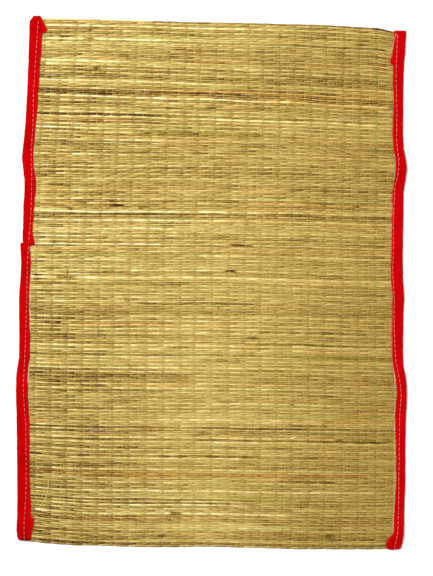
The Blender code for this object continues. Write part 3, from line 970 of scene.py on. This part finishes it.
# How far each tape's edge is spread over the reeds, where its far end is cut square and how much is
# trimmed off there, in millimetres, and how much shade is painted on it: at the near end, where it
# bends down, and along it to even out the light from the far left, values below 0 painting it lighter
Tape = namedtuple("Tape", "name side seam seed spread square_from trim soil")
red = red_cotton()
tapes = {}
for made in (
    Tape("left_upper_tape", -1, LEFT_SEAM, 31, (0.8, 0.8, 0.8, 0.8), 400, 1.2, (0.10, 0.10, 0.14)),
    Tape("left_lower_tape", -1, LEFT_SEAM, 32, (0.8, 0.8, 0.8, 0.8), 400, 0.1, (1.70, 0.14, 0.12)),
    Tape("right_tape", 1, RIGHT_SEAM, 33, (1.6, 0.9, 0.6, 0.0), 289, 0.6, (0.06, -0.18, 0.03)),
):
    tapes[made.name] = fold_tape(made, red)

# Stitches
# One row of lock stitches on each tape, in pale pink thread, sewn through both flaps and the
# reeds. Above and below, every stitch is a short bar that dips into the cloth at its ends.

STITCH_RADIUS = 0.21 * MM
STITCH_RISE = np.array((-0.35, 0.2, 0.34, 0.38, 0.34, 0.2, -0.35)) * MM  # above the cloth
STITCH_GIRTH = (0.6, 0.95, 1, 1, 1, 0.95, 0.6)
STITCH_SINK = 0.4 * MM  # how much deeper the stitches lie below, clear of the floor
SEAM_END = 2.5 * MM  # left unsewn at the tape's ends


def sew(name, tape, seam, length):
    """The stitches on a tape, above and below. Returns them as one piece."""
    surface = surface_of(tape.data)
    chance = np.random.default_rng(len(name))
    ends = [vertex.co.y for vertex in tape.data.vertices]
    first = math.ceil((min(ends) + SEAM_END) / STITCH_PITCH)
    last = math.floor((max(ends) - SEAM_END) / STITCH_PITCH)
    lines = []
    for number in range(first, last + 1):
        middle = (number + chance.uniform(-0.04, 0.04)) * STITCH_PITCH
        half = length / 2 * chance.uniform(0.92, 1.05)
        ys = middle + half * np.linspace(-1, 1, 7)
        lean = chance.uniform(-0.06, 0.06) * MM
        xs = seam_x(seam, ys) + lean * np.linspace(-1, 1, 7)
        for reader, face in ((highest, 1), (lowest, -1)):
            zs = [reader(surface, x, y) for x, y in zip(xs, ys)]
            if any(z is None for z in zs):
                continue
            rise = STITCH_RISE - (0 if face > 0 else STITCH_SINK)
            level = np.convolve(np.pad(zs, 1, mode="edge"), (0.25, 0.5, 0.25), mode="valid")
            lines.append(np.stack([xs, ys, level + face * rise], axis=1))
    lines = np.array(lines)
    piece, stem, section, angle = blank_stems(name, len(lines), 6, (6,))
    thickness = STITCH_RADIUS * np.tile(STITCH_GIRTH, (len(lines), 1))
    lay_stems(piece, stem, section, angle, lines, thickness, thickness * 0.9)
    unroll(piece, stem, section, angle)
    note(piece, "run", (lines[stem, section, 1], angle, stem * 0.77))
    piece.data.materials.append(pink_thread)
    smooth(piece, 70)
    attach(piece, "root")
    return piece


pink_thread = cotton("pink_thread", dye(252, 168, 166), dye(222, 92, 92))
for name, seam, length in (
    ("left_upper_tape", LEFT_SEAM, 4.3),
    ("left_lower_tape", LEFT_SEAM, 4.3),
    ("right_tape", RIGHT_SEAM, 4.9),
):
    tape, flat = tapes[name]
    sew(name.replace("tape", "stitches"), tape, seam, length * MM)

# Loose fibres
# Bits of grass and cotton that have worked out of the weave and lie on it: a dark sprig near
# the left tape, one long pale thread near the near left corner, and frayed ends at the far edge.

# In millimetres; each is a bow from its start to its end, drawn towards its middle point
Fibre = namedtuple("Fibre", "x_start y_start x_middle y_middle x_end y_end thickness tone")
FIBRES = (
    Fibre(-167.0, 15.0, -167.4, 11.0, -168.9, 6.4, 0.4, 0.14),
    Fibre(-163.6, 14.0, -165.4, 13.0, -167.4, 11.2, 0.3, 0.2),
    Fibre(-188.6, -227.3, -189.6, -255.0, -202.0, -263.0, 0.5, 0.98),
    Fibre(-211.8, -96.5, -212.6, -104.0, -213.0, -118.0, 0.6, 1.25),
    Fibre(-211.2, -97.4, -209.6, -91.0, -206.7, -93.2, 0.4, 0.95),
    Fibre(91.6, -182.2, 95.0, -181.2, 98.8, -179.4, 1.3, 1.1),
    Fibre(66.5, -178.2, 70.5, -178.6, 71.5, -182.0, 0.5, -0.1),
    Fibre(186.5, 296.0, 189.0, 299.0, 191.5, 299.6, 0.3, 0.9),
    Fibre(192.0, 295.5, 194.5, 298.2, 197.4, 297.8, 0.3, 0.86),
    Fibre(186.0, 295.2, 200.0, 293.8, 212.8, 289.4, 0.9, -0.30),
    Fibre(-120.0, 304.0, -119.0, 306.2, -117.2, 307.4, 0.22, 0.8),
    Fibre(61.0, 300.0, 62.5, 302.4, 62.2, 304.4, 0.22, 0.75),
    Fibre(-31.0, -306.0, -32.4, -309.0, -31.6, -310.6, 0.24, 0.8),
    Fibre(96.0, -308.0, 97.2, -311.2, 96.4, -312.6, 0.22, 0.85),
)


def bow(start, middle, end, steps=9):
    """Places along a curve from start to end that is drawn towards its middle point."""
    part = np.linspace(0, 1, steps)
    return (1 - part) ** 2 * start + 2 * part * (1 - part) * middle + part ** 2 * end


fibre_lines = []
for fibre in FIBRES:
    x = bow(fibre.x_start, fibre.x_middle, fibre.x_end)
    y = bow(fibre.y_start, fibre.y_middle, fibre.y_end)
    z = [highest(panel, px * MM, py * MM, fibre.thickness / 2 * MM) for px, py in zip(x, y)]
    z = np.convolve(np.pad(z, 1, mode="edge"), (0.25, 0.5, 0.25), mode="valid")
    fibre_lines.append(np.stack([x * MM, y * MM, z + (fibre.thickness / 2 + 0.3) * MM], axis=1))
fibre_lines = np.array(fibre_lines)
loose, stem, section, angle = blank_stems("loose_fibres", len(FIBRES), 5, (8,))
taper = np.array([0.4, 0.8, 1, 1, 1, 1, 1, 0.8, 0.3])
fibre_size = np.array([fibre.thickness / 2 * MM * taper for fibre in FIBRES])
lay_stems(loose, stem, section, angle, fibre_lines, fibre_size, fibre_size)
unroll(loose, stem, section, angle)
fibre_tones = np.array([fibre.tone for fibre in FIBRES])
# the third number paints a highlight along each fibre's top and shade on its flanks, as on the reeds
note(loose, "look", (fibre_tones[stem], np.zeros(len(stem)), np.sin(angle) - 0.70))
note(loose, "run", (fibre_lines[stem, section, 1], angle * 0.3 * MM, stem * 0.51))
loose.data.materials.append(grass)
smooth(loose, 70)
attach(loose, "root")

# Edge highlight thread
# A thin pale pink cotton thread at the raw far end of the right tape, lying along the tape's inner
# edge. It stands in for the highlight on the tape's folded raw edge: a painted highlight.

# In millimetres, from its far end
EDGE_HIGHLIGHT = (
    (214.9, 292.2),
    (214.7, 288.6),
    (213.9, 285.4),
    (212.2, 282.6),
    (211.5, 277.3),
    (210.9, 273.0),
    (210.4, 269.5),
)
right_cloth = surface_of(tapes["right_tape"][0].data)
highlight_line = []
for x, y in EDGE_HIGHLIGHT:
    below = max(highest(surface, x * MM, y * MM, 0.0) for surface in (right_cloth, panel))
    highlight_line.append((x * MM, y * MM, below + 0.35 * MM))
highlight_line = np.array([highlight_line])
highlight_thread, stem, section, angle = blank_stems("edge_highlight_thread", 1, 6, (6,))
highlight_size = np.array([[0.15, 0.26, 0.28, 0.26, 0.28, 0.24, 0.1]]) * MM
lay_stems(highlight_thread, stem, section, angle, highlight_line, highlight_size, highlight_size)
unroll(highlight_thread, stem, section, angle)
note(highlight_thread, "run", (highlight_line[stem, section, 1], angle, stem * 0.77))
highlight_thread.data.materials.append(cotton("painted_highlight_thread", dye(244, 206, 186), dye(196, 130, 110)))
smooth(highlight_thread, 70)
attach(highlight_thread, "root")

# Floor, light and camera
# The mat lies on a plain white floor under a soft light from its far left corner, and is seen
# from straight above.

bpy.ops.object.select_all(action="DESELECT")
bpy.ops.mesh.primitive_plane_add(size=6, location=(0, 0, 0))
ground = bpy.context.object
ground.name = "floor"
bpy.ops.object.transform_apply(location=True, rotation=True, scale=True)
white, white_shader, start = finish("white_floor", {"Specular IOR Level": 0.1})
speckle = start.node("TexCoord", (), (), output=3).stretched(40, 40, 40).noise(2.0)
paper = (speckle + 0.5).ramp((0.0, dye(249, 249, 249)), (1.0, dye(252, 252, 252)))
start.feed(white_shader, {"Base Color": paper, "Roughness": (speckle * 0.1 + 0.9).clamped()})
ground.data.materials.append(white)

world = bpy.data.worlds.new("studio")
bpy.context.scene.world = world
world.use_nodes = True
sky = world.node_tree.nodes["Background"]
sky.inputs["Color"].default_value = (1.0, 0.99, 0.97, 1.0)
sky.inputs["Strength"].default_value = 0.52

Lamp = namedtuple("Lamp", "name place size power")
for lamp in (
    Lamp("soft light", (-0.70, 0.75, 2.1), 1.1, 52.0),
    Lamp("overhead", (-0.1, 0.1, 2.2), 1.6, 6.0),
):
    light = bpy.data.lights.new(lamp.name, "AREA")
    light.shape = "DISK"
    light.size = lamp.size
    light.energy = lamp.power
    holder = bpy.data.objects.new(lamp.name, light)
    bpy.context.scene.collection.objects.link(holder)
    holder.location = lamp.place
    holder.rotation_euler = (-Vector(lamp.place)).to_track_quat("-Z", "Y").to_euler()

CAMERA_HEIGHT = 1.6
FRAME_LENGTH = 0.6705  # of floor seen along the picture's long side
lens = bpy.data.cameras.new("camera")
lens.sensor_width = 36.0
lens.lens = lens.sensor_width * CAMERA_HEIGHT / FRAME_LENGTH
camera = bpy.data.objects.new("camera", lens)
bpy.context.scene.collection.objects.link(camera)
camera.location = (6.0 * MM, -6.6 * MM, CAMERA_HEIGHT)
bpy.context.scene.camera = camera
bpy.context.scene.view_settings.view_transform = "Standard"
